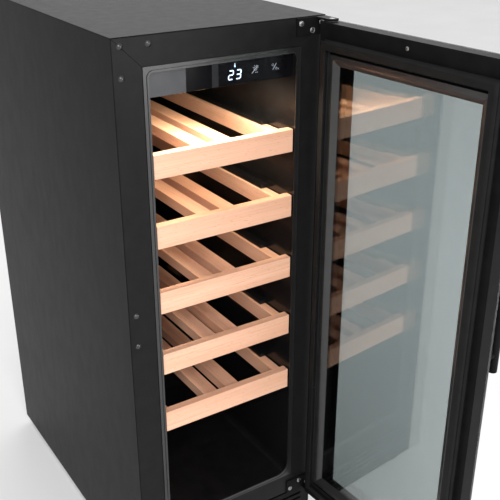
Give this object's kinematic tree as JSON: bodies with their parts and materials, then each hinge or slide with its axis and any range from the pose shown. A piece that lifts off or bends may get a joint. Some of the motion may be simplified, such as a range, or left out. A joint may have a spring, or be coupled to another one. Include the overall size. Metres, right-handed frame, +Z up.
{
  "type": "wine cooler",
  "caption": "Slim compressor wine cooler: black steel cabinet, right-hinged glazed door, sliding beech shelves, lit control panel, fans and a refrigeration bay at the rear.",
  "frame": {"origin": "on the floor at mid-width, in the plane of the cabinet's front frame", "axes": "+X to the hinge side, +Y from the front frame to the back, +Z up"},
  "size_m": [0.3532, 0.8332, 0.82],
  "materials": {
    "black_steel": "satin black powder coat",
    "galvanised_steel": "galvanised sheet",
    "gloss_liner": "gloss black moulding",
    "black_plastic": "fine-grained black moulding",
    "grey_plastic": "satin dark grey",
    "black_enamel": "baked black enamel",
    "aluminium": "rolled",
    "copper": null,
    "foam": "cast polyurethane foam",
    "rubber": "matt black",
    "clear_diffuser": "clear diffuser over white light dots",
    "tinted_glass": "grey-tinted float glass",
    "nylon": "white nylon",
    "beech": "sanded and lightly oiled beech"
  },
  "bodies": {
    "cabinet": {"side_panel_left": "black_steel", "side_panel_right": "black_steel", "top_panel": "black_steel", "back_panel": "black_steel", "rear_vent_cover": "black_steel", "base_pan": "galvanised_steel", "bay_partition": "galvanised_steel", "frame_stile_left": "black_steel", "frame_stile_right": "black_steel", "frame_rail_top": "black_steel", "frame_rail_bottom": "black_steel", "opening_trim": "gloss_liner", "inner_liner": "gloss_liner", "shelf_guides_left": "gloss_liner", "shelf_guides_right": "gloss_liner", "insulation": "foam", "hole_plugs": "black_plastic", "kick_grille": "black_plastic", "control_housing": "black_plastic", "control_window": "gloss_liner", "control_blank": "grey_plastic", "led_light_bar": "clear_diffuser", "duct_cover": "gloss_liner", "evaporator": "aluminium", "cabin_fan_frame": "black_plastic", "temperature_sensor": "black_plastic", "hinge_brackets": "black_steel", "hinge_pins": "galvanised_steel", "screws": "galvanised_steel", "compressor": "black_enamel", "compressor_mounts": "rubber", "condenser": "copper", "bay_fan_frame": "black_plastic", "drip_tray": "black_plastic", "refrigerant_pipes": "copper", "control_box": "black_plastic", "power_inlet": "black_plastic", "rear_feet": "rubber"},
    "door": {"door_frame": "black_steel", "door_glass_outer": "tinted_glass", "door_glass_inner": "tinted_glass", "glass_spacer": "black_plastic", "glazing_frame": "black_plastic", "door_gasket": "rubber", "door_handle": "black_steel", "hinge_bushes": "nylon"},
    "shelf_1": {"shelf_1_front": "beech", "shelf_1_rails": "beech"},
    "shelf_2": {"shelf_2_front": "beech", "shelf_2_rails": "beech"},
    "shelf_3": {"shelf_3_front": "beech", "shelf_3_rails": "beech"},
    "shelf_4": {"shelf_4_front": "beech", "shelf_4_rails": "beech"},
    "shelf_5": {"shelf_5_front": "beech", "shelf_5_rails": "beech"},
    "cabin_fan": {"cabin_fan_rotor": "black_plastic"},
    "bay_fan": {"bay_fan_rotor": "black_plastic"},
    "left_foot": {"foot_front_left": "rubber"},
    "right_foot": {"foot_front_right": "rubber"}
  },
  "joints": [
    {"name": "door_hinge", "type": "hinge", "parent": "cabinet", "child": "door", "pos_m": [0.1395, -0.024, 0.449], "axis": [0, 0, 1], "range_deg": [-93.5, 16.5]},
    {"name": "shelf_1_slide", "type": "slide", "parent": "cabinet", "child": "shelf_1", "axis": [0, -1, 0], "range_m": [0, 0.22]},
    {"name": "shelf_2_slide", "type": "slide", "parent": "cabinet", "child": "shelf_2", "axis": [0, -1, 0], "range_m": [0, 0.22]},
    {"name": "shelf_3_slide", "type": "slide", "parent": "cabinet", "child": "shelf_3", "axis": [0, -1, 0], "range_m": [0, 0.22]},
    {"name": "shelf_4_slide", "type": "slide", "parent": "cabinet", "child": "shelf_4", "axis": [0, -1, 0], "range_m": [0, 0.22]},
    {"name": "shelf_5_slide", "type": "slide", "parent": "cabinet", "child": "shelf_5", "axis": [0, -1, 0], "range_m": [0, 0.22]},
    {"name": "cabin_fan_spin", "type": "hinge", "parent": "cabinet", "child": "cabin_fan", "pos_m": [0, 0.4345, 0.5468], "axis": [0, 1, 0], "continuous": true},
    {"name": "bay_fan_spin", "type": "hinge", "parent": "cabinet", "child": "bay_fan", "pos_m": [-0.0825, 0.401, 0.0615], "axis": [0, 1, 0], "continuous": true},
    {"name": "left_foot_screw", "type": "slide", "parent": "cabinet", "child": "left_foot", "axis": [0, 0, -1], "range_m": [0, 0.02]},
    {"name": "right_foot_screw", "type": "slide", "parent": "cabinet", "child": "right_foot", "axis": [0, 0, -1], "range_m": [0, 0.02]}
  ]
}
